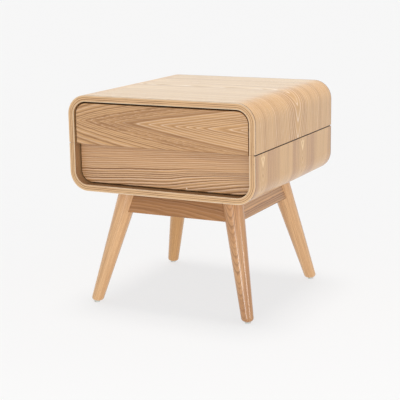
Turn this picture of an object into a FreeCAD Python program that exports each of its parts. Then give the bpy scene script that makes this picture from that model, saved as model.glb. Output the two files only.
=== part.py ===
"""Two-drawer bedside cabinet: a rounded plywood casing in two halves, on a splayed leg base.

Frame: +X to the right, +Y to the back, +Z up. The origin is on the floor under the middle of the cabinet.
Heights of the casing and the drawers are counted from the casing's underside.
"""
import FreeCAD, Part
import itertools
import math
import os
import re
import Sketcher

DIMENSIONS = {
    # casing
    "case_width": 450,
    "case_depth": 445,
    "case_height": 213,
    "case_wall": 14,
    "case_radius": 43.5,
    "case_edge": 0.8,
    "floor_gap": 267.5,
    # shadow gap round the outside of the seam
    "seam_gap": 2.2,
    "seam_deep": 3,
    "seam_round": 0.5,
    # loose tongue in the seam, and the back panel in its groove
    "spline_thick": 4,
    "spline_tall": 16,
    "spline_inset": 18,
    "panel_thick": 6,
    "panel_inset": 10,
    "panel_bite": 6,
    "joint_play": 0.1,
    # drawer fronts
    "front_thick": 16,
    "front_radius": 26,
    "front_edge": 1.0,
    "front_gap": 3.5,
    "grip_bevel": 14,
    "upper_front_set": 3,
    "upper_front_low": 105,
    "upper_front_high": 195,
    "lower_front_set": 20,
    "lower_front_low": 17,
    "lower_front_high": 102.5,
    # drawer boxes
    "box_thick": 12,
    "box_length": 350,
    "box_edge": 1.0,
    "bottom_thick": 5,
    "bottom_rise": 8,
    "bottom_bite": 6,
    "upper_box_low": 118,
    "upper_box_high": 185,
    "upper_lip_low": 122,
    "upper_lip_high": 185,
    "lower_box_low": 22,
    "lower_box_high": 90,
    "lower_lip_low": 22,
    "lower_lip_high": 84,
    # slides, counted from the cabinet wall inwards
    "slide_depth": 13,
    "slide_tall": 45,
    "slide_sheet": 1.2,
    "slide_bend": 1.0,
    "outer_reach": 9.2,
    "middle_start": 2.6,
    "middle_end": 10,
    "middle_tall": 35.2,
    "inner_start": 5.6,
    "inner_tall": 25.4,
    "upper_slide_mid": 143,
    "lower_slide_mid": 67,
    "ball_radius": 1.7,
    "cage_long": 100,
    "cage_wide": 4.6,
    "cage_sheet": 1.0,
    # screws, dowels and nails
    "screw_radius": 2,
    "head_radius": 3.8,
    "slide_head": 1.0,
    "slide_screw": 10,
    "pilot_spare": 1.5,
    "pan_head": 2.2,
    "pan_round": 1.4,
    "front_bite": 9,
    "front_screw_x": 135,
    "front_screw_rise": 17,
    "front_screw_drop": 14,
    "dowel_radius": 3,
    "dowel_long": 30,
    "dowel_bite": 8,
    "dowel_rise": 26,
    "dowel_drop": 12,
    "nail_radius": 1,
    "nail_long": 15,
    # base
    "leg_top": 125.6,
    "leg_foot_x": 190.6,
    "leg_foot_y": 187.2,
    "leg_top_radius": 23.9,
    "leg_foot_radius": 13.2,
    "leg_spare": 12,
    "leg_round": 7.5,
    "rail_thick": 24,
    "rail_drop": 62,
    "rail_round": 1,
    "tenon_thick": 10,
    "tenon_top": 9,
    "tenon_tall": 36,
    "tenon_end": 121.5,
    "block_thick": 25,
    "block_leg": 62,
    "block_screw": 91,
    "block_bite": 10,
    "glide_radius": 6.5,
    "glide_thick": 4,
    "glide_round": 0.8,
    "nail_rise": 1.2,
    # how far cutting shapes reach past what they cut
    "spare": 1,
    "beyond": 60,
}

SIDES = {"left": -1, "right": 1}
ENDS = {"front": -1, "back": 1}
RAILS = (("front_rail", "x", -1), ("back_rail", "x", 1), ("left_rail", "y", -1), ("right_rail", "y", 1))
CASE_TOP = "(floor_gap + case_height)"
SEAM = "(floor_gap + case_height / 2)"
INNER = "(case_width / 2 - case_wall)"
FRONT = "(-case_depth / 2)"
PANEL_MID = "(case_depth / 2 - panel_inset - panel_thick / 2)"
BOX_SIDE = "(case_width / 2 - case_wall - slide_depth)"
LEAN_X = "((leg_foot_x - leg_top) / floor_gap)"
LEAN_Y = "((leg_foot_y - leg_top) / floor_gap)"
LEG_LONG = f"(floor_gap * sqrt(1 + {LEAN_X}^2 + {LEAN_Y}^2))"
LEG_TAPER = f"((leg_top_radius - leg_foot_radius) / {LEG_LONG})"
SLIDE_SCREW_SHARES = (0.09, 0.5, 0.9)
BALLS_PER_RACE = 6
PILOT = "screw_radius + joint_play"
DOWEL_HOLE = "dowel_radius + joint_play"
CLOSE = 0.01

doc = FreeCAD.newDocument("bedside_cabinet")
sheet = doc.addObject("Spreadsheet::Sheet", "dims")
for row, (alias, number) in enumerate(DIMENSIONS.items(), start=1):
    sheet.set(f"A{row}", alias)
    sheet.set(f"B{row}", str(number))
    sheet.setAlias(f"B{row}", alias)
doc.recompute()

parts = []


def formula(text):
    """A formula in the sheet's names, as FreeCAD reads it."""
    return re.sub(r"[a-z][a-z_]+\b(?!\()", lambda word: "dims." + word.group(0), text)


def value(text):
    """The number that a formula gives."""
    return float(sheet.evalExpression(formula(str(text))))


def bind(item, **cells):
    """Bind each named property to a formula; a double underscore stands for a dot."""
    for name, text in cells.items():
        item.setExpression(name.replace("__", "."), formula(str(text)))


def new_body(label):
    """One named piece of the cabinet."""
    body = doc.addObject("PartDesign::Body", label)
    body.Label = label
    parts.append(body)
    return body


def place(body, x, y, z, turn):
    """Put a piece at a point, turned about the vertical."""
    upright = FreeCAD.Vector(0, 0, 1)
    body.Placement = FreeCAD.Placement(FreeCAD.Vector(), FreeCAD.Rotation(upright, turn))
    bind(body, Placement__Base__x=x, Placement__Base__y=y, Placement__Base__z=z)


def block(body, kind, x, y, z, tilt=None):
    """An additive or subtractive box from x, y and z spans; tilt is (axis, angle, pivot)."""
    item = body.newObject(f"PartDesign::{kind}Box", f"{body.Name}_{kind.lower()}_box")
    bind(
        item,
        Length=f"({x[1]}) - ({x[0]})",
        Width=f"({y[1]}) - ({y[0]})",
        Height=f"({z[1]}) - ({z[0]})",
    )
    if tilt is None:
        bind(item, Placement__Base__x=x[0], Placement__Base__y=y[0], Placement__Base__z=z[0])
        return
    axis, angle, pivot = tilt
    turn = FreeCAD.Rotation(FreeCAD.Vector(*axis), value(angle))
    corner = FreeCAD.Vector(value(x[0]), value(y[0]), value(z[0]))
    centre = FreeCAD.Vector(*[value(coordinate) for coordinate in pivot])
    item.Placement = FreeCAD.Placement(centre + turn.multVec(corner), turn)


def rod(body, kind, start, axis, length, radius):
    """An additive or subtractive cylinder from a start point along an axis."""
    item = body.newObject(f"PartDesign::{kind}Cylinder", f"{body.Name}_{kind.lower()}_rod")
    turn = FreeCAD.Rotation(FreeCAD.Vector(0, 0, 1), FreeCAD.Vector(*axis))
    item.Placement = FreeCAD.Placement(FreeCAD.Vector(), turn)
    bind(item, Radius=radius, Height=length)
    bind(item, Placement__Base__x=start[0], Placement__Base__y=start[1], Placement__Base__z=start[2])


def ball(body, x, y, z):
    """An additive ball."""
    item = body.newObject("PartDesign::AdditiveSphere", f"{body.Name}_ball")
    bind(item, Radius="ball_radius", Placement__Base__x=x, Placement__Base__y=y, Placement__Base__z=z)


def cone(body, kind, side, end, grow="0"):
    """The tapered round stock of one leg, a little longer than the leg at both ends."""
    item = body.newObject(f"PartDesign::{kind}Cone", f"{body.Name}_{kind.lower()}_leg")
    run = FreeCAD.Vector(
        side * value("leg_top - leg_foot_x"), end * value("leg_top - leg_foot_y"), value("floor_gap")
    )
    item.Placement = FreeCAD.Placement(FreeCAD.Vector(), FreeCAD.Rotation(FreeCAD.Vector(0, 0, 1), run))
    spare = f"(leg_spare / {LEG_LONG} * floor_gap)"
    bind(
        item,
        Radius1=f"leg_foot_radius - {LEG_TAPER} * leg_spare + {grow}",
        Radius2=f"leg_top_radius + {LEG_TAPER} * leg_spare + {grow}",
        Height=f"{LEG_LONG} + 2 * leg_spare",
        Placement__Base__x=f"{side} * (leg_foot_x + {LEAN_X} * {spare})",
        Placement__Base__y=f"{end} * (leg_foot_y + {LEAN_Y} * {spare})",
        Placement__Base__z=f"-{spare}",
    )


def soften(body, kind, size, test):
    """Fillet or chamfer the edges of the body's last feature that pass the test."""
    doc.recompute()
    base = body.Tip
    names = [f"Edge{n}" for n, edge in enumerate(base.Shape.Edges, start=1) if test(edge)]
    item = body.newObject(f"PartDesign::{kind}", f"{body.Name}_{kind.lower()}")
    item.Base = (base, names)
    bind(item, **{"Radius" if kind == "Fillet" else "Size": size})


def flat_on(edge, axis, level):
    """True where an edge lies wholly at one level along an axis."""
    box = edge.BoundBox
    low = getattr(box, axis + "Min")
    high = getattr(box, axis + "Max")
    return abs(low - level) < CLOSE and abs(high - level) < CLOSE


def runs_along(edge, axis):
    """True where an edge is straight and parallel to an axis."""
    box = edge.BoundBox
    spans = {name: getattr(box, name + "Length") for name in "XYZ"}
    return spans[axis] > CLOSE and all(span < CLOSE for name, span in spans.items() if name != axis)


def rounded_outline(sketch, tag, width, low, high, radius):
    """A rounded rectangle, even about the sketch's upright axis, with its sizes bound to the sheet."""
    half = value(width) / 2
    bottom = value(low)
    top = value(high)
    bend = value(radius)
    point = FreeCAD.Vector
    quarter = math.pi / 2
    first = sketch.GeometryCount
    sketch.addGeometry(Part.LineSegment(point(-half + bend, bottom, 0), point(half - bend, bottom, 0)), False)
    corners = [
        (half - bend, bottom + bend, -1),
        (half - bend, top - bend, 0),
        (-half + bend, top - bend, 1),
        (-half + bend, bottom + bend, 2),
    ]
    lines = [
        (point(half, bottom + bend, 0), point(half, top - bend, 0)),
        (point(half - bend, top, 0), point(-half + bend, top, 0)),
        (point(-half, top - bend, 0), point(-half, bottom + bend, 0)),
        None,
    ]
    for (x, y, step), line in zip(corners, lines):
        circle = Part.Circle(point(x, y, 0), point(0, 0, 1), bend)
        sketch.addGeometry(Part.ArcOfCircle(circle, step * quarter, (step + 1) * quarter), False)
        if line:
            sketch.addGeometry(Part.LineSegment(*line), False)
    loop = list(range(first, first + 8))
    for here, following in zip(loop, loop[1:] + loop[:1]):
        sketch.addConstraint(Sketcher.Constraint("Tangent", here, 2, following, 1))
    bottom_line, right_line, top_line, left_line = loop[0::2]
    arcs = loop[1::2]
    sketch.addConstraint(Sketcher.Constraint("Horizontal", top_line))
    sketch.addConstraint(Sketcher.Constraint("Vertical", right_line))
    sketch.addConstraint(Sketcher.Constraint("Vertical", left_line))
    for arc in arcs[1:]:
        sketch.addConstraint(Sketcher.Constraint("Equal", arcs[0], arc))
    sketch.addConstraint(Sketcher.Constraint("Symmetric", bottom_line, 1, bottom_line, 2, -2))
    tall = top - bottom
    named = {
        "radius": (("Radius", arcs[0], bend), radius),
        "width": (("DistanceX", left_line, 1, right_line, 1, 2 * half), width),
        "low": (("DistanceY", -1, 1, bottom_line, 1, bottom), low),
        "tall": (("DistanceY", bottom_line, 1, top_line, 1, tall), f"({high}) - ({low})"),
    }
    for name, (constraint, text) in named.items():
        index = sketch.addConstraint(Sketcher.Constraint(*constraint))
        sketch.renameConstraint(index, f"{tag}_{name}")
        sketch.setExpression(f"Constraints.{tag}_{name}", formula(text))


def upright_sketch(body, name, y):
    """A sketch facing along Y, at a distance y behind the middle of the cabinet."""
    plane = next(f for f in body.Origin.OriginFeatures if f.Role == "XZ_Plane")
    sketch = body.newObject("Sketcher::SketchObject", name)
    sketch.AttachmentSupport = (plane, "")
    sketch.MapMode = "FlatFace"
    bind(sketch, AttachmentOffset__Base__z=f"-({y})")
    return sketch


def extrude(body, kind, sketch, length):
    """A pad or pocket that grows evenly to both sides of its sketch."""
    item = body.newObject(f"PartDesign::{kind}", f"{body.Name}_{kind.lower()}")
    item.Profile = sketch
    item.SideType = "Symmetric"
    bind(item, Length=length)


def slide_screw_places():
    """Distances along a slide at which its screws stand."""
    return [f"box_length * {share}" for share in SLIDE_SCREW_SHARES]


def slide_front(level):
    """The front end of a slide, behind its drawer's front and inner front."""
    return f"({FRONT} + {level}_front_set + front_thick)"


def casing_halves():
    """The casing: two U-shaped halves, split at mid-height with a shadow gap outside."""
    for label, level in (("upper_shell", "upper"), ("lower_shell", "lower")):
        body = new_body(label)
        ring = upright_sketch(body, f"{label}_ring", "0")
        rounded_outline(ring, "outer", "case_width", "floor_gap", CASE_TOP, "case_radius")
        rounded_outline(
            ring, "inner", f"2 * {INNER}", "floor_gap + case_wall", f"{CASE_TOP} - case_wall",
            "case_radius - case_wall",
        )
        extrude(body, "Pad", ring, "case_depth")
        other_half = ("floor_gap - spare", SEAM) if level == "upper" else (SEAM, f"{CASE_TOP} + spare")
        block(body, "Subtractive", ("-case_width", "case_width"), ("-case_depth", "case_depth"), other_half)
        groove = upright_sketch(body, f"{label}_panel_groove", PANEL_MID)
        rounded_outline(
            groove, "groove", f"2 * ({INNER} + panel_bite)", "floor_gap + case_wall - panel_bite",
            f"{CASE_TOP} - case_wall + panel_bite", "case_radius - case_wall + panel_bite",
        )
        extrude(body, "Pocket", groove, "panel_thick + 2 * joint_play")
        for sign in SIDES.values():
            block(body, "Subtractive", *spline_spans(sign, "joint_play"))
            block(body, "Subtractive", *seam_gap_spans(sign))
            for along in slide_screw_places():
                start = (
                    f"{sign} * ({INNER} - spare)",
                    f"{slide_front(level)} + {along}",
                    f"floor_gap + {level}_slide_mid",
                )
                rod(body, "Subtractive", start, (sign, 0, 0), "slide_screw + pilot_spare", PILOT)
        if level == "lower":
            for side, end in itertools.product(SIDES.values(), ENDS.values()):
                start = (f"{side} * block_screw", f"{end} * block_screw", "floor_gap - spare")
                rod(body, "Subtractive", start, (0, 0, 1), "block_bite + pilot_spare", PILOT)
        outside = value("case_width / 2")
        half_gap = value("seam_gap / 2")
        soften(
            body, "Fillet", "seam_round",
            lambda edge: runs_along(edge, "Y") and abs(abs(edge.CenterOfMass.x) - outside) < CLOSE
            and abs(abs(edge.CenterOfMass.z - value(SEAM)) - half_gap) < CLOSE,
        )
        soften(body, "Fillet", "case_edge", outer_end_edge)


def outer_end_edge(edge):
    """True for the edges round the outside of the casing's front and back ends."""
    depth = value("case_depth / 2")
    if not (flat_on(edge, "Y", depth) or flat_on(edge, "Y", -depth)):
        return False
    middle = edge.valueAt((edge.FirstParameter + edge.LastParameter) / 2)
    side = value("case_width / 2")
    bend = value("case_radius")
    across = max(abs(middle.x) - (side - bend), 0)
    up = max(abs(middle.z - value("floor_gap + case_height / 2")) - (value("case_height / 2") - bend), 0)
    return abs(math.hypot(across, up) - bend) < CLOSE


def seam_gap_spans(sign):
    """The x, y and z spans of the shadow gap in the outside of one side wall."""
    return (
        (f"{sign} * case_width / 2 - seam_deep", f"{sign} * case_width / 2 + seam_deep"),
        ("-case_depth", "case_depth"),
        (f"{SEAM} - seam_gap / 2", f"{SEAM} + seam_gap / 2"),
    )


def spline_spans(sign, grow):
    """The x, y and z spans of the tongue in one side wall, grown all round for its groove."""
    middle = f"({sign} * (case_width - case_wall) / 2)"
    return (
        (f"{middle} - spline_thick / 2 - {grow}", f"{middle} + spline_thick / 2 + {grow}"),
        (f"{FRONT} + spline_inset - {grow}", f"{PANEL_MID} - spline_inset + {grow}"),
        (f"{SEAM} - spline_tall / 2 - {grow}", f"{SEAM} + spline_tall / 2 + {grow}"),
    )


def seam_splines():
    """Loose tongues that join the two halves of the casing inside their side walls."""
    for name, sign in SIDES.items():
        body = new_body(f"seam_spline_{name}")
        block(body, "Additive", *spline_spans(sign, "0"))


def back_panel():
    """The thin panel that closes the back, held in the groove of both halves."""
    body = new_body("back_panel")
    outline = upright_sketch(body, "back_panel_outline", PANEL_MID)
    rounded_outline(
        outline, "panel", f"2 * ({INNER} + panel_bite - joint_play)",
        "floor_gap + case_wall - panel_bite + joint_play",
        f"{CASE_TOP} - case_wall + panel_bite - joint_play",
        "case_radius - case_wall + panel_bite - joint_play",
    )
    extrude(body, "Pad", outline, "panel_thick")


def drawer_front(level):
    """A drawer's front: the upper has a bevel behind its lower edge to pull by; both round two corners."""
    body = new_body(f"{level}_drawer_front")
    half = f"({INNER} - front_gap)"
    low = f"floor_gap + {level}_front_low"
    high = f"floor_gap + {level}_front_high"
    face = f"{FRONT} + {level}_front_set"
    block(body, "Additive", (f"-{half}", half), (face, f"{face} + front_thick"), (low, high))
    round_level = value(high if level == "upper" else low)
    soften(
        body, "Fillet", "front_radius",
        lambda edge: runs_along(edge, "Y") and abs(edge.CenterOfMass.z - round_level) < CLOSE,
    )
    if level == "upper":
        back = value(f"{face} + front_thick")
        soften(
            body, "Chamfer", "grip_bevel",
            lambda edge: flat_on(edge, "Y", back) and flat_on(edge, "Z", value(low)),
        )
    soften(body, "Fillet", "front_edge", lambda edge: flat_on(edge, "Y", value(face)))
    for x, z in front_screw_places(level):
        start = (x, f"{face} + front_thick - front_bite - spare", z)
        rod(body, "Subtractive", start, (0, 1, 0), "front_bite + 2 * spare", PILOT)


def front_screw_places(level):
    """The four places where screws join the inner front to the drawer front."""
    low = f"(floor_gap + {level}_lip_low + front_screw_rise)"
    high = f"(floor_gap + {level}_lip_high - front_screw_drop)"
    return [(f"{sign} * front_screw_x", z) for sign in SIDES.values() for z in (low, high)]


def bottom_heights(level, grow):
    """The lower and upper face of a drawer's bottom, grown for the grooves that hold it."""
    low = f"floor_gap + {level}_box_low + bottom_rise"
    return f"{low} - {grow}", f"{low} + bottom_thick + {grow}"


def box_sides(level):
    """The two sides of a drawer box, with a groove for the bottom and holes for dowels and slides."""
    start = slide_front(level)
    heights = (f"floor_gap + {level}_box_low", f"floor_gap + {level}_box_high")
    inside = f"({BOX_SIDE} - box_thick)"
    for name, sign in SIDES.items():
        body = new_body(f"{level}_box_side_{name}")
        ordered = 1 if sign > 0 else -1
        spans = (f"{sign} * {inside}", f"{sign} * {BOX_SIDE}")[::ordered]
        groove = (f"{sign} * ({inside} - spare)", f"{sign} * ({inside} + bottom_bite)")[::ordered]
        groove_run = (f"{start} + bottom_bite", f"{start} + box_length - bottom_bite")
        block(body, "Additive", spans, (start, f"{start} + box_length"), heights)
        block(body, "Subtractive", groove, groove_run, bottom_heights(level, "joint_play"))
        for y, z in dowel_places(level):
            hole = (f"{sign} * ({inside} - spare)", y, z)
            rod(body, "Subtractive", hole, (sign, 0, 0), "dowel_bite + spare + joint_play", DOWEL_HOLE)
        for along in slide_screw_places():
            hole = (f"{sign} * ({BOX_SIDE} + spare)", f"{start} + {along}", f"floor_gap + {level}_slide_mid")
            rod(body, "Subtractive", hole, (-sign, 0, 0), "slide_screw + pilot_spare", PILOT)
        top = value(heights[1])
        soften(body, "Fillet", "box_edge", lambda edge: runs_along(edge, "Y") and flat_on(edge, "Z", top))


def box_ends(level):
    """The inner front and the back of a drawer box, doweled between its sides."""
    start = slide_front(level)
    stop = f"({start} + box_length)"
    inside = f"({BOX_SIDE} - box_thick)"
    ends = {
        "front": (start, f"{start} + box_thick", "lip"),
        "back": (f"{stop} - box_thick", stop, "box"),
    }
    for name, (near, far, heights) in ends.items():
        body = new_body(f"{level}_box_{name}")
        high = f"floor_gap + {level}_{heights}_high"
        low = f"floor_gap + {level}_{heights}_low"
        block(body, "Additive", (f"-{inside}", inside), (near, far), (low, high))
        inner_face = (f"{far} - bottom_bite", f"{far} + spare")
        if name == "back":
            inner_face = (f"{near} - spare", f"{near} + bottom_bite")
        across = (f"-{inside} - spare", f"{inside} + spare")
        block(body, "Subtractive", across, inner_face, bottom_heights(level, "joint_play"))
        for y, z in dowel_places(level):
            if not value(near) < value(y) < value(far):
                continue
            for sign in SIDES.values():
                hole = (f"{sign} * ({inside} + spare)", y, z)
                depth = "dowel_long - dowel_bite + spare + joint_play"
                rod(body, "Subtractive", hole, (-sign, 0, 0), depth, DOWEL_HOLE)
        if name == "front":
            for x, z in front_screw_places(level):
                hole = (x, f"{near} - spare", z)
                rod(body, "Subtractive", hole, (0, 1, 0), "box_thick + 2 * spare", PILOT)
        top = value(high)
        soften(body, "Fillet", "box_edge", lambda edge: runs_along(edge, "X") and flat_on(edge, "Z", top))


def box_bottom(level):
    """The thin bottom of a drawer box, held in grooves all round."""
    body = new_body(f"{level}_box_bottom")
    start = slide_front(level)
    inside = f"({BOX_SIDE} - box_thick)"
    reach = f"({inside} + bottom_bite - joint_play)"
    in_wall = "(box_thick - bottom_bite + joint_play)"
    run = (f"{start} + {in_wall}", f"{start} + box_length - {in_wall}")
    block(body, "Additive", (f"-{reach}", reach), run, bottom_heights(level, "0"))


def dowel_places(level):
    """The (y, z) centres of the dowels at each corner of a drawer box."""
    low = f"(floor_gap + {level}_lip_low)"
    high = f"(floor_gap + {level}_lip_high)"
    front = f"({slide_front(level)} + box_thick / 2)"
    back = f"({slide_front(level)} + box_length - box_thick / 2)"
    heights = (f"({low} + dowel_rise)", f"({high} - dowel_drop)")
    return list(itertools.product((front, back), heights))


def box_dowels(level):
    """Beech dowels across the corners of a drawer box."""
    body = new_body(f"{level}_box_dowels")
    for sign in SIDES.values():
        for y, z in dowel_places(level):
            outer_end = (f"{sign} * ({BOX_SIDE} - box_thick + dowel_bite)", y, z)
            rod(body, "Additive", outer_end, (-sign, 0, 0), "dowel_long", "dowel_radius")


def front_screws(level):
    """Pan-head screws from inside the drawer box into its front."""
    body = new_body(f"{level}_front_screws")
    inner = f"({slide_front(level)} + box_thick)"
    for x, z in front_screw_places(level):
        tip = (x, f"{inner} - box_thick - front_bite", z)
        rod(body, "Additive", tip, (0, 1, 0), "box_thick + front_bite", "screw_radius")
        rod(body, "Additive", (x, inner, z), (0, 1, 0), "pan_head", "head_radius")
    crown = value(f"{inner} + pan_head")
    soften(body, "Fillet", "pan_round", lambda edge: flat_on(edge, "Y", crown))


def slide_members(level):
    """Side-mounted ball-bearing slides: three nested steel channels on each side of a drawer."""
    half_run = "(box_length / 2)"
    channels = {
        "cabinet_member": ("0", "outer_reach", "slide_tall"),
        "middle_member": ("middle_start", "middle_end", "middle_tall"),
        "drawer_member": ("inner_start", "slide_depth", "inner_tall"),
    }
    for (name, sign), (member, (near, far, tall)) in itertools.product(SIDES.items(), channels.items()):
        body = new_body(f"{level}_{name}_{member}")
        half = f"({tall} / 2)"
        web_far = member == "drawer_member"
        block(body, "Additive", (near, far), (f"-{half_run}", half_run), (f"-{half}", half))
        hollow = (f"{near} + slide_sheet", f"{far} + spare")
        if web_far:
            hollow = (f"{near} - spare", f"{far} - slide_sheet")
        run = (f"-{half_run} - spare", f"{half_run} + spare")
        block(body, "Subtractive", hollow, run, (f"slide_sheet - {half}", f"{half} - slide_sheet"))
        web = value(far if web_far else near)
        if member != "middle_member":
            for along in slide_screw_places():
                y = f"{-sign} * ({along} - {half_run})"
                start = (f"{web} - slide_sheet - spare", y, "0")
                rod(body, "Subtractive", start, (1, 0, 0), "2 * (slide_sheet + spare)", PILOT)
        corner = value(half)
        soften(
            body, "Fillet", "slide_bend",
            lambda edge: runs_along(edge, "Y") and flat_on(edge, "X", web)
            and abs(abs(edge.CenterOfMass.z) - corner) < CLOSE,
        )
        place(
            body, f"{sign} * {INNER}", f"{slide_front(level)} + {half_run}",
            f"floor_gap + {level}_slide_mid", 0 if sign < 0 else 180,
        )


def ball_cages(level):
    """Steel balls in thin retainers, above and below, in the two races of each slide."""
    races = {
        "outer": ("(middle_start + outer_reach) / 2", "(slide_tall / 2 - slide_sheet + middle_tall / 2) / 2"),
        "inner": ("(inner_start + middle_end) / 2", "(middle_tall / 2 - slide_sheet + inner_tall / 2) / 2"),
    }
    centre = f"({slide_front(level)} + box_length / 2)"
    for race, (depth, rise) in races.items():
        body = new_body(f"{level}_{race}_ball_cages")
        for sign, up in itertools.product(SIDES.values(), (-1, 1)):
            x = f"({sign} * ({INNER} - {depth}))"
            z = f"(floor_gap + {level}_slide_mid + {up} * {rise})"
            block(
                body, "Additive", (f"{x} - cage_wide / 2", f"{x} + cage_wide / 2"),
                (f"{centre} - cage_long / 2", f"{centre} + cage_long / 2"),
                (f"{z} - cage_sheet / 2", f"{z} + cage_sheet / 2"),
            )
            for number in range(BALLS_PER_RACE):
                share = (number + 0.5) / BALLS_PER_RACE - 0.5
                ball(body, x, f"{centre} + cage_long * {share}", z)


def low_screw(body, seat, sign):
    """A low-head screw driven along X from the face of a slide's web."""
    rod(body, "Additive", seat, (sign, 0, 0), "slide_screw", "screw_radius")
    rod(body, "Additive", seat, (-sign, 0, 0), "slide_head", "head_radius")


def slide_screws():
    """Low-head screws that hold the slides to the casing and to the drawer boxes."""
    wall = new_body("wall_screws")
    for level in ("upper", "lower"):
        box_side = new_body(f"{level}_slide_screws")
        for sign in SIDES.values():
            for along in slide_screw_places():
                y = f"{slide_front(level)} + {along}"
                z = f"floor_gap + {level}_slide_mid"
                low_screw(wall, (f"{sign} * ({INNER} - slide_sheet)", y, z), sign)
                low_screw(box_side, (f"{sign} * ({BOX_SIDE} + slide_sheet)", y, z), -sign)


def tilted(along, sign):
    """The tilt of a rail's plane, which holds the axes of the two legs at its ends."""
    if along == "x":
        return (sign, 0, 0), f"atan({LEAN_Y})", ("0", f"{sign} * leg_top", "floor_gap")
    return (0, -sign, 0), f"atan({LEAN_X})", (f"{sign} * leg_top", "0", "floor_gap")


def rail_box(body, kind, along, sign, reach, faces, heights):
    """A box in a rail's own tilted plane; its inner and outer faces are counted outwards."""
    ordered = 1 if sign > 0 else -1
    across = tuple(f"{sign} * ({face})" for face in faces[::ordered])
    length = (f"-({reach})", reach)
    x, y = (length, across) if along == "x" else (across, length)
    block(body, kind, x, y, heights, tilted(along, sign))


def rails():
    """Rails that lean with the legs, coped to their round sides and tenoned into them."""
    for name, along, sign in RAILS:
        body = new_body(name)
        faces = ("-rail_thick / 2", "rail_thick / 2")
        rail_box(body, "Additive", along, sign, "leg_top", faces, ("-rail_drop", "rail_thick"))
        wide = ("-case_width", "case_width")
        block(body, "Subtractive", wide, wide, ("floor_gap", "floor_gap + beyond"))
        middle = value("floor_gap - rail_drop / 2")
        soften(
            body, "Fillet", "rail_round",
            lambda edge: runs_along(edge, along.upper()) and edge.CenterOfMass.z < middle,
        )
        for side, end in itertools.product(SIDES.values(), ENDS.values()):
            if (end if along == "x" else side) == sign:
                cone(body, "Subtractive", side, end, "joint_play / 2")
        rail_box(
            body, "Additive", along, sign, "tenon_end", ("-tenon_thick / 2", "tenon_thick / 2"),
            ("-tenon_top - tenon_tall", "-tenon_top"),
        )


def legs():
    """Tapered round legs, flat on top, with mortises for the rails and a rounded foot."""
    wide = ("-case_width", "case_width")
    for (end_name, end), (side_name, side) in itertools.product(ENDS.items(), SIDES.items()):
        body = new_body(f"leg_{end_name}_{side_name}")
        cone(body, "Additive", side, end)
        block(body, "Subtractive", wide, wide, ("floor_gap", "floor_gap + beyond"))
        block(body, "Subtractive", wide, wide, ("-beyond", "glide_thick"))
        soften(body, "Fillet", "leg_round", lambda edge: flat_on(edge, "Z", value("glide_thick")))
        for along, sign in (("x", end), ("y", side)):
            rail_box(
                body, "Subtractive", along, sign, "tenon_end + joint_play",
                ("-tenon_thick / 2 - joint_play", "tenon_thick / 2 + joint_play"),
                ("-tenon_top - tenon_tall - joint_play", "joint_play - tenon_top"),
            )
        rod(
            body, "Subtractive", foot_centre(side, end) + ("0",), (0, 0, 1),
            "nail_rise + nail_long + spare", "nail_radius + joint_play",
        )


def foot_centre(side, end):
    """The point of the leg's flat end where its glide is nailed."""
    return (
        f"{side} * (leg_foot_x - {LEAN_X} * glide_thick)",
        f"{end} * (leg_foot_y - {LEAN_Y} * glide_thick)",
    )


def glides():
    """Nail-on plastic glides under the legs."""
    nails = new_body("glide_nails")
    for (end_name, end), (side_name, side) in itertools.product(ENDS.items(), SIDES.items()):
        body = new_body(f"glide_{end_name}_{side_name}")
        centre = foot_centre(side, end)
        rod(body, "Additive", centre + ("0",), (0, 0, 1), "glide_thick", "glide_radius")
        soften(body, "Fillet", "glide_round", lambda edge: flat_on(edge, "Z", 0))
        hole = centre + ("nail_rise",)
        rod(body, "Subtractive", hole, (0, 0, 1), "glide_thick", "nail_radius + joint_play")
        rod(nails, "Additive", centre + ("nail_rise + joint_play",), (0, 0, 1), "nail_long", "nail_radius")


def corner_blocks():
    """Three-cornered blocks glued in the corners of the rails, and the screws that hold the casing down."""
    screws = new_body("base_screws")
    low = "(floor_gap - block_thick)"
    outer = "(leg_top + rail_thick / 4)"
    inner = "(leg_top - rail_thick / 2 - block_leg)"
    middle = f"({inner} + block_leg / 2)"
    for (end_name, end), (side_name, side) in itertools.product(ENDS.items(), SIDES.items()):
        body = new_body(f"corner_block_{end_name}_{side_name}")
        x, y = ((f"{sign} * {inner}", f"{sign} * {outer}")[:: 1 if sign > 0 else -1] for sign in (side, end))
        block(body, "Additive", x, y, (low, "floor_gap"))
        for along, sign in (("x", end), ("y", side)):
            faces = ("-(rail_thick + joint_play) / 2", "rail_thick * 2")
            rail_box(body, "Subtractive", along, sign, "case_width", faces, ("-rail_drop", "rail_thick"))
        cone(body, "Subtractive", side, end, "joint_play")
        inward = math.degrees(math.atan2(-end, -side))
        pivot = (f"{side} * {middle}", f"{end} * {middle}", low)
        heights = ("-spare", "block_thick + spare")
        block(
            body, "Subtractive", ("0", "block_leg * 2"), ("-block_leg", "block_leg"), heights,
            ((0, 0, 1), str(inward), pivot),
        )
        centre = (f"{side} * block_screw", f"{end} * block_screw")
        rod(body, "Subtractive", centre + (f"{low} - spare",), (0, 0, 1), "block_thick + 2 * spare", PILOT)
        rod(screws, "Additive", centre + (low,), (0, 0, 1), "block_thick + block_bite", "screw_radius")
        rod(screws, "Additive", centre + (low,), (0, 0, -1), "pan_head", "head_radius")
    soften(screws, "Fillet", "pan_round", lambda edge: flat_on(edge, "Z", value(f"{low} - pan_head")))


casing_halves()
seam_splines()
back_panel()
for drawer in ("upper", "lower"):
    drawer_front(drawer)
    box_sides(drawer)
    box_ends(drawer)
    box_bottom(drawer)
    box_dowels(drawer)
    front_screws(drawer)
    slide_members(drawer)
    ball_cages(drawer)
slide_screws()
rails()
legs()
glides()
corner_blocks()
doc.recompute()

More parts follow.
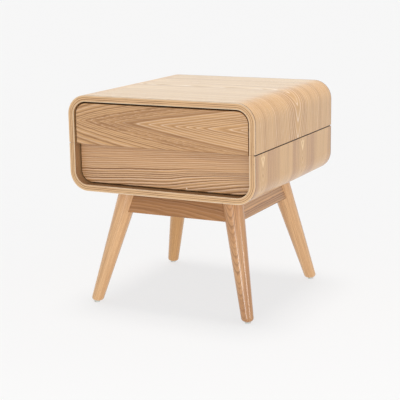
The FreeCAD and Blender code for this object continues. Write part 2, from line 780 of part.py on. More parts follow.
for item in doc.Objects:
    if "Invalid" in item.State or "Error" in item.State:
        raise RuntimeError(f"{item.Name} failed: {item.State}")
os.makedirs("parts", exist_ok=True)
for part in parts:
    shape = part.Shape
    if shape.isNull() or not shape.isValid() or shape.Volume <= 0:
        raise RuntimeError(f"{part.Label} has no valid shape")
    print(part.Label, len(shape.Solids), round(shape.Volume))
    shape.exportStep(f"parts/{part.Label}.step")
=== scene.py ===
"""Looks of the two-drawer bedside cabinet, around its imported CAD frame.

Metres; +Z up; the front faces -Y.
"""
import math

import bmesh
import bpy
from mathutils import Matrix, Vector


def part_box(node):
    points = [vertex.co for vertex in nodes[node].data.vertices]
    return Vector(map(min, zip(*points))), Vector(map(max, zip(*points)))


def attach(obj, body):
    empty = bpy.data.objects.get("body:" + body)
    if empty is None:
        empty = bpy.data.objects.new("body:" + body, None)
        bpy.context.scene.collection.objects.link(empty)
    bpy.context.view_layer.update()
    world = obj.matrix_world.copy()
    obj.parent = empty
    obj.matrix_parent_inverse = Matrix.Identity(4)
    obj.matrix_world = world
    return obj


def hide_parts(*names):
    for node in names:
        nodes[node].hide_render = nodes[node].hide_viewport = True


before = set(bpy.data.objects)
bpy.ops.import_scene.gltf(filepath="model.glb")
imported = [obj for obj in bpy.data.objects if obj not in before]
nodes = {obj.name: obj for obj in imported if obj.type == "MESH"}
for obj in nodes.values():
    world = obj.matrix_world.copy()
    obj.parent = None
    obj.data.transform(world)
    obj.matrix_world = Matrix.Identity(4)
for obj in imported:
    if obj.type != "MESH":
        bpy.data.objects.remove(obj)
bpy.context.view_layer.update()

# ---------------------------------------------------------------- the casing's sizes
case_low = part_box("lower_shell")[0]
case_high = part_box("upper_shell")[1]
HALF_WIDE = (case_high.x - case_low.x) / 2
HALF_TALL = (case_high.z - case_low.z) / 2
HALF_DEEP = (case_high.y - case_low.y) / 2
CASE_MID = (case_high.z + case_low.z) / 2
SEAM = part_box("upper_shell")[0].z
SEAM_GAP = 0.0022
SEAM_DEEP = 0.003
BEND = 0.0435
WALL = 0.014
FLAT_END = HALF_WIDE - BEND
RUN_TO_SEAM = FLAT_END + BEND * math.pi / 2 + HALF_TALL - BEND


# ---------------------------------------------------------------- node graph helper
class Graph:
    """A material's node tree, built with short calls. Values may be numbers, tuples or output sockets."""

    def __init__(self, name):
        self.material = bpy.data.materials.new(name)
        self.material.use_nodes = True
        self.tree = self.material.node_tree
        self.tree.nodes.clear()
        coordinates = self.tree.nodes.new("ShaderNodeTexCoord")
        self.place = coordinates.outputs["Object"]
        self.normal = coordinates.outputs["Normal"]
        self.x, self.y, self.z = self.split(self.place)

    def feed(self, socket, value):
        if isinstance(value, bpy.types.NodeSocket):
            self.tree.links.new(value, socket)
        else:
            socket.default_value = value

    def math(self, operation, *values):
        node = self.tree.nodes.new("ShaderNodeMath")
        node.operation = operation
        for socket, value in zip(node.inputs, values):
            self.feed(socket, value)
        return node.outputs[0]

    def add(self, a, b):
        return self.math("ADD", a, b)

    def sub(self, a, b):
        return self.math("SUBTRACT", a, b)

    def mul(self, a, b):
        return self.math("MULTIPLY", a, b)

    def size(self, a):
        return self.math("ABSOLUTE", a)

    def split(self, vector):
        node = self.tree.nodes.new("ShaderNodeSeparateXYZ")
        self.feed(node.inputs[0], vector)
        return node.outputs[0], node.outputs[1], node.outputs[2]

    def join(self, x, y, z):
        node = self.tree.nodes.new("ShaderNodeCombineXYZ")
        for socket, value in zip(node.inputs, (x, y, z)):
            self.feed(socket, value)
        return node.outputs[0]

    def dot(self, vector, axis):
        node = self.tree.nodes.new("ShaderNodeVectorMath")
        node.operation = "DOT_PRODUCT"
        self.feed(node.inputs[0], vector)
        node.inputs[1].default_value = axis
        return node.outputs["Value"]

    def noise(self, vector, detail=2.0, roughness=0.5):
        """Noise from 0 to 1, about 0.5; the vector carries the scale."""
        node = self.tree.nodes.new("ShaderNodeTexNoise")
        self.feed(node.inputs["Vector"], vector)
        node.inputs["Scale"].default_value = 1.0
        node.inputs["Detail"].default_value = detail
        node.inputs["Roughness"].default_value = roughness
        return node.outputs["Fac"]

    def random(self, value):
        node = self.tree.nodes.new("ShaderNodeTexWhiteNoise")
        node.noise_dimensions = "1D"
        self.feed(node.inputs["W"], value)
        return node.outputs["Value"]

    def smooth(self, value, low, high, out_low=0.0, out_high=1.0):
        """A smooth step of value from low to high."""
        node = self.tree.nodes.new("ShaderNodeMapRange")
        node.interpolation_type = "SMOOTHSTEP"
        for socket, number in zip(node.inputs, (value, low, high, out_low, out_high)):
            self.feed(socket, number)
        return node.outputs[0]

    def within(self, value, low, high, soft):
        """About 1 where value lies between low and high, and 0 outside, with soft ends."""
        rise = self.smooth(value, low - soft, low + soft)
        return self.mul(rise, self.smooth(value, high - soft, high + soft, 1.0, 0.0))

    def spot(self, u, v, at, size):
        """A soft round or oval spot, 1 at its middle."""
        across = self.mul(self.sub(u, at[0]), 1 / size[0])
        up = self.mul(self.sub(v, at[1]), 1 / size[1])
        far = self.math("SQRT", self.add(self.mul(across, across), self.mul(up, up)))
        return self.smooth(far, 0.2, 1.0, 1.0, 0.0)

    def ramp(self, value, *stops):
        node = self.tree.nodes.new("ShaderNodeValToRGB")
        self.feed(node.inputs[0], value)
        elements = node.color_ramp.elements
        while len(elements) < len(stops):
            elements.new(0.5)
        for element, (at, colour) in zip(elements, stops):
            element.position = at
            element.color = (*colour, 1.0)
        return node.outputs["Color"]

    def mix(self, share, a, b, blend="MIX"):
        node = self.tree.nodes.new("ShaderNodeMix")
        node.data_type = "RGBA"
        node.blend_type = blend
        self.feed(node.inputs[0], share)
        for socket, value in ((node.inputs[6], a), (node.inputs[7], b)):
            if isinstance(value, tuple):
                value = (*value, 1.0)
            self.feed(socket, value)
        return node.outputs[2]

    def blend(self, share, a, b):
        """Mixes two plain values."""
        return self.add(a, self.mul(share, self.sub(b, a)))

    def finish(self, colour, roughness, bump_height=None, bump=0.0, **constants):
        """Closes the graph with a Principled shader. Constants are set on the shader's own sockets."""
        shader = self.tree.nodes.new("ShaderNodeBsdfPrincipled")
        self.feed(shader.inputs["Base Color"], colour)
        self.feed(shader.inputs["Roughness"], roughness)
        for name, value in constants.items():
            shader.inputs[name.replace("_", " ")].default_value = value
        if bump_height is not None:
            relief = self.tree.nodes.new("ShaderNodeBump")
            relief.inputs["Strength"].default_value = 1.0
            relief.inputs["Distance"].default_value = bump
            self.feed(relief.inputs["Height"], bump_height)
            self.tree.links.new(relief.outputs[0], shader.inputs["Normal"])
        output = self.tree.nodes.new("ShaderNodeOutputMaterial")
        self.tree.links.new(shader.outputs[0], output.inputs["Surface"])
        return self.material


def rgb(red, green, blue):
    """A display colour, 0 to 255, as linear light."""
    shares = (red / 255, green / 255, blue / 255)
    return tuple(c / 12.92 if c <= 0.04045 else ((c + 0.055) / 1.055) ** 2.4 for c in shares)


def tinted(g, colour, tint):
    """A colour multiplied by a plain tint."""
    return g.mix(1.0, colour, tint, "MULTIPLY")


# ---------------------------------------------------------------- wood
# How fine the wood's parts are: cycles a metre along and across the grain.
LINE_EDGES = (40.0, 420.0)
FIBRES = (14.0, 1100.0)
STREAKS = (5.0, 240.0)
PORES = (110.0, 2600.0)
# How deep the lacquered surface's relief is.
VENEER_RELIEF = 0.00008
SOLID_RELIEF = 0.00005
TURNED_RELIEF = 0.00001
# Two plies of the drawer boxes, one along and one across.
PLY_PAIR = 0.0030
# The side of the legs that shows their arches.
LEG_FACING = Vector((0.3, -0.95, 0))


def grain(g, place, scale, detail, roughness=0.5, shift=0.0):
    """Noise drawn out along the grain, at a place (along, across, through)."""
    u, v, w = place
    along, across = scale
    through = g.add(g.mul(w, across), shift)
    return g.noise(g.join(g.mul(u, along), g.mul(v, across), through), detail, roughness)


def sway(g, u, seed, amount, scale=5.0):
    """How far the grain wanders sideways along its length."""
    return g.mul(g.sub(g.noise(g.join(g.mul(u, scale), seed + 7.3, 0.0), 1.0), 0.5), amount)


def arches(g, along, across, spread, power):
    """Growth coordinate of a flat-cut leaf, in millimetres along the grain.

    It is equal along nested pointed arches, which open towards -along. spread and power set how quickly
    their arms part.
    """
    blunt = g.math("SQRT", g.add(g.mul(across, across), 1e-6))
    arms = g.math("POWER", g.mul(blunt, 1000.0), power)
    return g.add(g.mul(arms, spread), g.mul(along, 1000.0))


def ash(
    g, u, v, w, years, colours, contrast=1.0, seed=0.0, group=None, lines=1.0, pale=0.0, width=0.55,
    crinkle=0.32,
):
    """Ash: porous dark lines once a year, pale dense wood between. u runs along the grain.

    years is the growth coordinate, one unit a year. group (0 to 1) darkens whole fields, lines scales the
    yearly lines, width is their share of a year, crinkle makes them ragged, and pale draws thin pale lines
    beside them. Returns (colour, height, yearly line).
    """
    light, mid, dark = colours
    place = (u, v, w)
    uneven = g.sub(g.noise(g.join(g.mul(years, 0.43), seed + 3.1, 0.0), 1.0), 0.5)
    ragged = g.sub(grain(g, place, LINE_EDGES, 2.0, 0.6), 0.5)
    phase = g.add(g.add(years, g.mul(uneven, 1.5)), g.mul(ragged, crinkle))
    whole = g.math("FLOOR", phase)
    part = g.sub(phase, whole)
    year = g.smooth(g.random(g.add(whole, seed)), 0.0, 1.0, 0.3, 1.0)
    band = g.mul(g.mul(g.smooth(part, 0.0, 0.12), g.smooth(part, 0.14, width, 1.0, 0.0)), year)
    late = g.within(part, 0.74, 0.92, 0.06)
    fine = g.noise(g.join(g.mul(phase, 3.1), seed + 5.7, g.mul(u, 2.0)), 3.0, 0.65)
    if group is None:
        fields = g.noise(g.join(g.mul(phase, 0.19), seed + 9.2, g.mul(u, 0.6)), 1.0)
        group = g.smooth(fields, 0.42, 0.68)
    fibre = grain(g, place, FIBRES, 3.0, 0.6)
    streak = grain(g, place, STREAKS, 3.0, 0.6, seed)
    pores = g.mul(g.smooth(grain(g, place, PORES, 1.0), 0.54, 0.70), g.smooth(band, 0.05, 0.6))
    # pale wood, browner in whole fields, with streaks, then the yearly lines and the pores in them
    colour = g.mix(g.mul(group, 0.85), light, mid)
    shade = g.add(g.mul(g.smooth(streak, 0.38, 0.75), 0.30), g.mul(g.smooth(fibre, 0.35, 0.8), 0.20))
    colour = g.mix(g.mul(shade, contrast), colour, dark)
    colour = g.mix(g.mul(g.mul(g.smooth(fine, 0.40, 0.8), 0.5 * contrast), lines), colour, dark)
    colour = g.mix(g.mul(g.mul(band, 0.75 * contrast), lines), colour, dark)
    colour = g.mix(g.mul(late, pale), colour, tuple(1.0 - (1.0 - c) * 0.72 for c in light))
    colour = g.mix(g.mul(g.mul(pores, 0.55 * contrast), lines), colour, tuple(c * 0.5 for c in dark))
    height = g.sub(g.sub(1.0, g.mul(fibre, 0.3)), g.add(g.mul(pores, 0.5), g.mul(band, 0.15)))
    return colour, height, band


LACQUER = dict(Coat_Weight=0.35, Coat_Roughness=0.25, IOR=1.5, Specular_IOR_Level=0.35)
POLISHED = dict(Coat_Weight=1.0, Coat_Roughness=0.20, IOR=1.5, Specular_IOR_Level=0.1)


def unrolled(g):
    """Places on the moulded casing.

    Returns how far they lie round its outline from the middle of its top or floor, without a sign and
    with one (+ to the right), and how deep they lie below its outside.
    """
    wide = g.size(g.x)
    tall = g.size(g.sub(g.z, CASE_MID))
    flat_z = HALF_TALL - BEND
    corner_x = g.math("MAXIMUM", g.sub(wide, FLAT_END), 0.0)
    corner_z = g.math("MAXIMUM", g.sub(tall, flat_z), 0.0)
    angle = g.math("ARCTAN2", corner_x, corner_z)
    down = g.sub(flat_z, g.math("MINIMUM", tall, flat_z))
    run = g.add(g.add(g.math("MINIMUM", wide, FLAT_END), g.mul(angle, BEND)), down)
    depth = g.sub(BEND, g.math("SQRT", g.add(g.mul(corner_x, corner_x), g.mul(corner_z, corner_z))))
    return run, g.mul(run, g.math("SIGN", g.x)), depth


def plies(g, run, depth):
    """The cut end of the moulding: pale face veneers, long-grain and cross-grain plies between them."""
    wander = g.mul(g.sub(g.noise(g.join(g.mul(run, 26.0), g.mul(depth, 60.0), 4.0), 2.0), 0.5), 0.0011)
    share = g.math("DIVIDE", g.add(depth, wander), WALL)
    pale = rgb(240, 218, 186)
    tan = rgb(221, 182, 136)
    brown = rgb(128, 84, 46)
    layers = g.ramp(
        share,
        (0.0, pale), (0.11, pale), (0.145, brown), (0.19, tan), (0.31, tan), (0.36, brown), (0.41, brown),
        (0.45, tan), (0.58, tan), (0.61, brown), (0.69, brown), (0.72, tan), (0.84, tan), (0.88, brown),
        (0.91, pale), (1.0, pale),
    )
    long_grain = g.noise(g.join(g.mul(run, 22.0), g.mul(depth, 1500.0), 1.0), 3.0, 0.6)
    end_grain = g.noise(g.join(g.mul(run, 1500.0), g.mul(depth, 700.0), 2.0), 2.0)
    patches = g.noise(g.join(g.mul(run, 11.0), g.mul(depth, 260.0), 9.0), 2.0)
    layers = g.mix(g.smooth(patches, 0.40, 0.70, 0.0, 0.55), layers, tan)
    layers = g.mix(g.smooth(long_grain, 0.40, 0.80, 0.0, 0.45), layers, rgb(168, 120, 76))
    layers = g.mix(g.smooth(end_grain, 0.45, 0.75, 0.0, 0.25), layers, rgb(150, 104, 66))
    inner = g.within(share, 0.16, 0.86, 0.04)
    voids = g.smooth(g.noise(g.join(g.mul(run, 70.0), g.mul(depth, 900.0), 6.0), 1.0), 0.72, 0.76)
    layers = g.mix(g.mul(g.mul(voids, inner), 0.85), layers, rgb(74, 46, 28))
    return layers, g.sub(g.mul(long_grain, 0.5), g.mul(voids, 1.5))


# The figure of the upper half's leaf moves slowly over the flat top, and faster past this run.
TOP_FLAT = 0.14
TOP_SLOW = 0.4
UPPER_YEAR = 34.0
UPPER_HEART = 0.0107
LOWER_YEAR = 16.0
LOWER_HEART = -0.0718
CASING_COLOURS = (rgb(213, 170, 116), rgb(193, 147, 94), rgb(138, 92, 49))
LOWER_CASING_COLOURS = (rgb(213, 170, 116), rgb(178, 131, 90), rgb(138, 92, 49))
# Painted light on the upper half: a darker tint on its walls as painted shade, a lighter one on its bends
# and top, and a paler, whiter one on the flat top as painted sheen.
WALL_SHADE_TINT = (0.96, 0.93, 0.87)
BEND_LIGHT_TINT = (1.33, 1.27, 1.16)
TOP_SHEEN_TINT = (1.07, 1.33, 1.80)
# The casing's inner face is darkened by this tint as painted shade inside the carcass.
INNER_SHADE_TINT = (0.42, 0.36, 0.30)


def upper_casing(g, side, run, depth):
    """Upper half: one leaf from seam to seam, with arches that point to the right, longer on the top."""
    across = g.sub(g.sub(g.y, UPPER_HEART), sway(g, run, 2.0, 0.010))
    past_right = g.math("MAXIMUM", g.sub(run, TOP_FLAT), 0.0)
    past_left = g.math("MAXIMUM", g.sub(g.mul(run, -1.0), TOP_FLAT), 0.0)
    travel = g.add(g.mul(run, TOP_SLOW), g.mul(g.sub(past_right, past_left), 1.0 - TOP_SLOW))
    right_seam = 1000 * (RUN_TO_SEAM * TOP_SLOW + (RUN_TO_SEAM - TOP_FLAT) * (1.0 - TOP_SLOW))
    growth = g.sub(arches(g, travel, across, 0.75, 1.35), right_seam)
    cloudy = g.noise(g.join(g.mul(run, 1.3), g.mul(across, 34.0), 5.0), 2.0)
    flat_part = g.smooth(side, FLAT_END - 0.03, FLAT_END + 0.03, 1.0, 0.0)
    colour, height, band = ash(
        g, run, g.y, g.mul(depth, 0.2), g.mul(growth, 1 / UPPER_YEAR), CASING_COLOURS,
        contrast=0.78, seed=2.0, group=g.smooth(cloudy, 0.40, 0.66),
        lines=g.add(0.28, g.mul(flat_part, 0.72)), pale=0.9, crinkle=0.12,
    )
    # painted light: darker walls as painted shade, lighter bends and top, and a whiter flat top as painted
    # sheen
    lit_bend_share = g.smooth(side, FLAT_END - 0.01, FLAT_END + 0.085, 1.0, 0.0)
    colour = g.mix(lit_bend_share, tinted(g, colour, WALL_SHADE_TINT), tinted(g, colour, BEND_LIGHT_TINT))
    return g.mix(flat_part, colour, tinted(g, colour, TOP_SHEEN_TINT)), height, band


def lower_casing(g, side, depth):
    """Lower half: two leaves cut one after the other, so their figure repeats along the depth."""
    leaf = HALF_DEEP
    local = g.sub(g.math("FLOORED_MODULO", g.y, leaf), leaf / 2)
    below = g.sub(SEAM, g.z)
    tip = g.sub(g.sub(local, LOWER_HEART), sway(g, side, 6.0, 0.004))
    years = g.mul(arches(g, below, tip, 0.9, 1.35), 1 / LOWER_YEAR)
    heart = g.within(local, -0.052, 0.004, 0.016)
    edge = g.add(g.smooth(local, 0.082, 0.104), g.smooth(local, -0.102, -0.082, 1.0, 0.0))
    leaf_seed = g.add(12.0, g.mul(g.math("SIGN", g.y), 0.4))
    streaks = g.noise(g.join(g.mul(side, 1.5), g.mul(local, 75.0), leaf_seed), 3.0)
    broad = g.mul(g.add(g.mul(heart, 0.75), g.mul(edge, 0.6)), g.smooth(streaks, 0.25, 0.6, 0.45, 1.0))
    broad = g.math("MINIMUM", g.add(broad, g.smooth(streaks, 0.48, 0.75, 0.0, 0.6)), 1.0)
    across = g.add(local, g.mul(g.math("SIGN", g.x), 3.0))
    colour, height, band = ash(
        g, side, across, g.mul(depth, 0.2), years, LOWER_CASING_COLOURS,
        contrast=0.72, seed=14.0, group=broad, lines=0.5, pale=0.3,
    )
    # a pale tear shape with a browner middle hangs a little below the seam at each leaf's heart
    point = g.add(g.mul(g.size(tip), 2.3), below)
    tear = g.mul(g.smooth(point, 0.0300, 0.0335, 1.0, 0.0), g.smooth(below, 0.006, 0.012))
    hollow = g.mul(g.smooth(point, 0.0195, 0.0235, 1.0, 0.0), g.smooth(below, 0.009, 0.0135))
    colour = g.mix(g.mul(tear, 0.8), colour, rgb(240, 206, 154))
    colour = g.mix(g.mul(hollow, 0.6), colour, rgb(176, 132, 88))
    joint = g.within(g.y, -0.00018, 0.00018, 0.0001)
    return g.mix(g.mul(joint, 0.5), colour, LOWER_CASING_COLOURS[2]), height, band


def seam_lines(g, colour, end_face):
    """The groove at the seam is painted near black-brown as painted shade in the recess, and a dark
    hairline joint goes on from it across the plies.
    """
    off_seam = g.size(g.sub(g.z, SEAM))
    # painted shade: the groove at the seam is coloured near black-brown
    seam_gap_shade = g.smooth(off_seam, SEAM_GAP / 2 + 0.00002, SEAM_GAP / 2 + 0.0002, 1.0, 0.0)
    seam_gap_shade = g.mul(seam_gap_shade, g.within(g.size(g.x), HALF_WIDE - SEAM_DEEP - 0.0002, HALF_WIDE - 0.00025, 0.0002))
    colour = g.mix(g.mul(seam_gap_shade, 0.95), colour, rgb(44, 26, 8))
    hairline = g.mul(g.smooth(off_seam, 0.0002, 0.0005, 1.0, 0.0), end_face)
    return g.mix(g.mul(hairline, 0.6), colour, rgb(120, 78, 44))


def casing_material():
    """Moulded plywood halves: veneer wrapped round the bends outside, plies on the cut ends."""
    g = Graph("casing_veneer")
    side, run, depth = unrolled(g)
    lower = g.math("LESS_THAN", g.z, SEAM)
    upper_face, upper_height, upper_band = upper_casing(g, side, run, depth)
    lower_face, lower_height, lower_band = lower_casing(g, side, depth)
    face = g.mix(lower, upper_face, lower_face)
    face_height = g.blend(lower, upper_height, lower_height)
    band = g.blend(lower, upper_band, lower_band)
    # the cut edge of the face veneer shows as a thin brown line along the front and back arrises
    rim = g.smooth(g.size(g.y), HALF_DEEP - 0.0036, HALF_DEEP - 0.0026)
    outside = g.smooth(depth, 0.0006, 0.0012, 1.0, 0.0)
    face = g.mix(g.mul(g.mul(rim, outside), 0.9), face, rgb(112, 62, 24))
    end_plies, ply_height = plies(g, run, depth)
    end_face = g.smooth(g.size(g.split(g.normal)[1]), 0.55, 0.75)
    colour = seam_lines(g, g.mix(end_face, face, end_plies), end_face)
    # the inner face is darkened as painted shade inside the carcass
    inner_skin = g.smooth(depth, WALL - 0.0007, WALL - 0.0002)
    colour = g.mix(g.mul(inner_skin, 0.45), colour, tinted(g, colour, INNER_SHADE_TINT))
    height = g.blend(end_face, face_height, ply_height)
    roughness = g.add(0.33, g.mul(band, 0.08))
    roughness = g.add(roughness, g.add(g.mul(end_face, 0.2), g.mul(inner_skin, 0.3)))
    return g.finish(colour, roughness, height, VENEER_RELIEF, **LACQUER)


UPPER_FRONT_COLOURS = (rgb(209, 163, 112), rgb(180, 134, 89), rgb(112, 68, 32))
LOWER_FRONT_COLOURS = (rgb(217, 170, 119), rgb(190, 143, 97), rgb(116, 72, 35))
SHADED_TINT = (0.78, 0.74, 0.70)


def banded(g, colour, height):
    """The edges of a drawer front carry a strip of straight-grained veneer; its faces are unchanged."""
    face = g.smooth(g.size(g.split(g.normal)[1]), 0.45, 0.7)
    upright = g.smooth(g.size(g.split(g.normal)[0]), 0.6, 0.8)
    along = g.blend(upright, g.x, g.z)
    years = g.add(g.mul(g.y, 300.0), g.mul(sway(g, along, 41.0, 0.004, 9.0), 300.0))
    band_colour, band_height, _ = ash(
        g, along, g.y, g.mul(g.add(g.x, g.z), 0.02), years, UPPER_FRONT_COLOURS,
        contrast=0.6, seed=44.0, pale=0.3,
    )
    return g.mix(face, band_colour, colour), g.blend(face, band_height, height)


def upper_front_material():
    """Upper drawer front: one flat-cut leaf whose pointed arches lie on their side, open to the right.

    q is the growth coordinate in millimetres, below 0 inside the first arch from the left end.
    """
    g = Graph("upper_front_veneer")
    low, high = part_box("upper_drawer_front")
    arch_axis = low.z + 0.578 * (high.z - low.z)
    from_left = g.mul(g.sub(g.x, low.x), 1000.0)
    wave = g.add(sway(g, g.x, 5.0, 0.004, 9.0), sway(g, g.x, 23.0, 0.0020, 30.0))
    up = g.sub(g.sub(g.z, arch_axis), wave)
    arms = g.math("POWER", g.math("SQRT", g.add(g.mul(g.mul(up, up), 1e6), 0.4)), 1.06)
    # the arms fall by 0.40 of their length at the left end, and by 0.19 further right
    steep = g.mul(g.sub(1.0, g.math("EXPONENT", g.mul(from_left, -1 / 90.0))), 18.9)
    q = g.sub(arms, g.add(g.mul(from_left, 0.19), steep))
    years = g.math("DIVIDE", q, g.add(6.2, g.mul(g.math("MAXIMUM", q, 0.0), 0.10)))
    cloudy = g.noise(g.join(g.mul(g.x, 9.0), g.mul(up, 60.0), 3.0), 2.0)
    haze = g.within(q, -33.0, -7.0, 5.0)
    dark_band = g.within(q, -43.0, -34.5, 2.4)
    heart = g.smooth(q, -48.0, -36.0, 1.0, 0.0)
    brown = g.math("MAXIMUM", g.mul(haze, g.smooth(cloudy, 0.3, 0.6, 0.45, 0.8)), dark_band)
    brown = g.add(g.mul(brown, 0.75), g.mul(g.smooth(cloudy, 0.5, 0.7), 0.2))
    lines = g.sub(g.sub(1.05, g.mul(haze, 0.5)), g.mul(heart, 0.40))
    colour, height, band = ash(
        g, g.x, g.z, g.mul(g.y, 0.2), years, UPPER_FRONT_COLOURS, contrast=0.92, seed=5.0, group=brown,
        lines=lines, pale=g.add(0.35, g.mul(heart, 0.30)), width=0.50,
        crinkle=g.add(0.14, g.mul(haze, 1.1)),
    )
    shaded = g.add(g.mul(dark_band, g.smooth(cloudy, 0.25, 0.5, 0.5, 1.0)), g.mul(haze, 0.25))
    colour = g.mix(g.mul(shaded, 0.7), colour, tinted(g, colour, SHADED_TINT))
    colour, height = banded(g, colour, height)
    return g.finish(colour, g.add(0.36, g.mul(band, 0.08)), height, VENEER_RELIEF, **LACQUER)


def lower_front_material():
    """Lower drawer front: quarter-cut, nearly straight grain that swings up at the right."""
    g = Graph("lower_front_veneer")
    low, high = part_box("lower_drawer_front")
    tall = (high.z - low.z) * 1000.0
    wave = g.add(sway(g, g.x, 9.0, 0.004, 9.0), sway(g, g.x, 19.0, 0.0016, 38.0))
    above = g.mul(g.sub(g.z, low.z), 1000.0)
    swing = g.mul(g.mul(g.smooth(g.x, -0.02, 0.22), g.smooth(above, 18.0, 60.0, 1.0, 0.0)), 20.0)
    level = g.sub(g.sub(g.sub(above, g.mul(g.x, 60.0)), swing), g.mul(wave, 1000.0))
    years = g.mul(level, g.add(1 / 7.0, g.mul(level, 0.0008)))
    cloudy = g.noise(g.join(g.mul(g.x, 5.0), g.mul(g.z, 38.0), 8.0), 2.0)
    # the top band under the upper front's overhang has fainter lines and is browner: the fainter lines are
    # grain, the browner tone is painted shade of the overhang
    shaded_calm_top = g.smooth(g.sub(above, g.mul(g.x, 33.0)), tall - 48.0, tall - 38.0)
    brown = g.math("MAXIMUM", g.smooth(cloudy, 0.46, 0.70, 0.0, 0.6), g.mul(shaded_calm_top, 0.75))
    colour, height, band = ash(
        g, g.x, g.z, g.mul(g.y, 0.2), years, LOWER_FRONT_COLOURS, contrast=1.0, seed=12.0, group=brown,
        lines=g.sub(1.3, shaded_calm_top), pale=0.75, width=0.60, crinkle=0.14,
    )
    # one small pin knot stands at the lower edge, right of the middle
    pin = g.spot(g.x, g.z, (0.0554, low.z + 0.004), (0.0026, 0.0026))
    colour = g.mix(g.mul(pin, 0.9), colour, rgb(246, 226, 200))
    colour, height = banded(g, colour, height)
    return g.finish(colour, g.add(0.36, g.mul(band, 0.08)), height, VENEER_RELIEF, **LACQUER)


def back_material():
    """Back panel: plain flat-cut veneer, grain left to right."""
    g = Graph("back_veneer")
    up = g.sub(g.sub(g.z, SEAM + 0.02), sway(g, g.x, 15.0, 0.01))
    years = g.mul(arches(g, g.x, up, 0.6, 1.4), 1 / 30.0)
    colours = (rgb(228, 194, 150), rgb(208, 168, 124), rgb(160, 114, 72))
    colour, height, band = ash(
        g, g.x, g.z, g.mul(g.y, 0.2), years, colours, contrast=0.8, seed=15.0,
    )
    return g.finish(colour, g.add(0.38, g.mul(band, 0.08)), height, VENEER_RELIEF, **LACQUER)


def placed(g, origin, along, side, through):
    """Places from an origin, measured along three directions."""
    return tuple(g.sub(g.dot(g.place, axis), origin.dot(axis)) for axis in (along, side, through))


def solid_ash_material(
    name, along, origin, seed, colours, contrast=0.9, year_wide=0.0042, pith=(0.02, 0.03), wander=1.0,
):
    """Solid ash with its grain along a direction: rails and corner blocks. pith is the heart's offset."""
    g = Graph(name)
    axis = Vector(along).normalized()
    side = Vector((0, 0, 1)).cross(axis).normalized()
    u, v, w = placed(g, Vector(origin), axis, side, axis.cross(side))
    v_lean = g.add(pith[0], g.mul(u, 0.05 * wander))
    w_lean = g.add(pith[1], g.mul(u, 0.03 * wander))
    v_off = g.sub(g.sub(v, v_lean), sway(g, u, seed, 0.004 * wander, 9.0))
    w_off = g.sub(g.sub(w, w_lean), sway(g, u, seed + 2.0, 0.004 * wander, 14.0))
    radius = g.math("SQRT", g.add(g.mul(v_off, v_off), g.mul(w_off, w_off)))
    colour, height, band = ash(
        g, u, v, w, g.mul(radius, 1 / year_wide), colours, contrast=contrast, seed=seed, pale=0.15,
    )
    return g.finish(colour, g.add(0.40, g.mul(band, 0.10)), height, SOLID_RELIEF, **LACQUER)


def leg_material(name, axis, origin, seed, colours, contrast, year_long, spread, power, lines, aside):
    """A turned ash leg: pointed arches on the side that faces LEG_FACING, straight grain beside them.

    year_long is a year's length along the leg in millimetres, and aside is how far the arches' middle lies
    beside the leg's own.
    """
    g = Graph(name)
    axis = axis.normalized()
    side = axis.cross(LEG_FACING).normalized()
    u, v, w = placed(g, origin, axis, side, axis.cross(side))
    wander = 0.004 / max(1.0, spread)
    bends = g.add(sway(g, u, seed, wander, 12.0), sway(g, u, seed + 4.0, 0.3 * wander, 50.0))
    years = g.mul(arches(g, u, g.sub(v, g.add(aside, bends)), spread, power), 1 / year_long)
    colour, height, band = ash(
        g, u, v, w, years, colours, contrast=contrast, seed=seed, lines=lines, width=0.6, crinkle=0.15,
    )
    return g.finish(colour, g.add(0.34, g.mul(band, 0.08)), height, TURNED_RELIEF, **POLISHED)


def box_material(name, lengthwise, layered):
    """Pale lacquered birch plywood of the drawer boxes, its face grain along X or Y.

    layered gives the axis through the sheet, whose plies show on the top edges, or None for the bottom.
    """
    g = Graph(name)
    along, sideways = (g.x, g.y) if lengthwise == "X" else (g.y, g.x)
    across = g.add(g.z, g.mul(sideways, 0.9))
    wave = g.add(sway(g, along, 61.0, 0.030, 3.5), sway(g, along, 64.0, 0.006, 14.0))
    years = g.mul(g.add(across, wave), 1 / 0.011)
    colours = (rgb(232, 206, 168), rgb(224, 195, 154), rgb(190, 150, 106))
    colour, height, band = ash(
        g, along, across, g.mul(across, 0.1), years, colours, contrast=0.42, seed=21.0,
    )
    if layered:
        through = g.size(g.x if layered == "X" else g.y)
        part = g.math("FRACT", g.mul(through, 1 / PLY_PAIR))
        glue = g.within(part, 0.46, 0.54, 0.03)
        cross_ply = g.within(part, 0.5, 1.0, 0.04)
        end_grain = g.noise(g.join(g.mul(g.x, 1400.0), g.mul(g.y, 1400.0), g.mul(g.z, 200.0)), 2.0)
        browner = g.mul(cross_ply, g.add(0.25, g.mul(end_grain, 0.5)))
        plied = g.mix(browner, rgb(230, 204, 164), rgb(178, 136, 94))
        plied = g.mix(g.mul(glue, 0.6), plied, rgb(120, 82, 50))
        top_edge = g.smooth(g.size(g.split(g.normal)[2]), 0.6, 0.8)
        colour = g.mix(top_edge, colour, plied)
    return g.finish(colour, g.add(0.42, g.mul(band, 0.05)), height, SOLID_RELIEF, IOR=1.5)


# ---------------------------------------------------------------- metal and plastic
def steel_material(name, tint):
    """Zinc-plated steel with faint rolling marks and patchy passivation."""
    g = Graph(name)
    patches = g.noise(g.join(g.mul(g.x, 60.0), g.mul(g.y, 25.0), g.mul(g.z, 60.0)), 3.0)
    rolled = g.noise(g.join(g.mul(g.x, 900.0), g.mul(g.y, 12.0), g.mul(g.z, 900.0)), 2.0)
    colour = g.mix(patches, tint, tuple(c * 0.82 for c in tint))
    roughness = g.add(0.24, g.add(g.mul(patches, 0.14), g.mul(rolled, 0.10)))
    return g.finish(colour, roughness, rolled, 0.00003, Metallic=1.0)


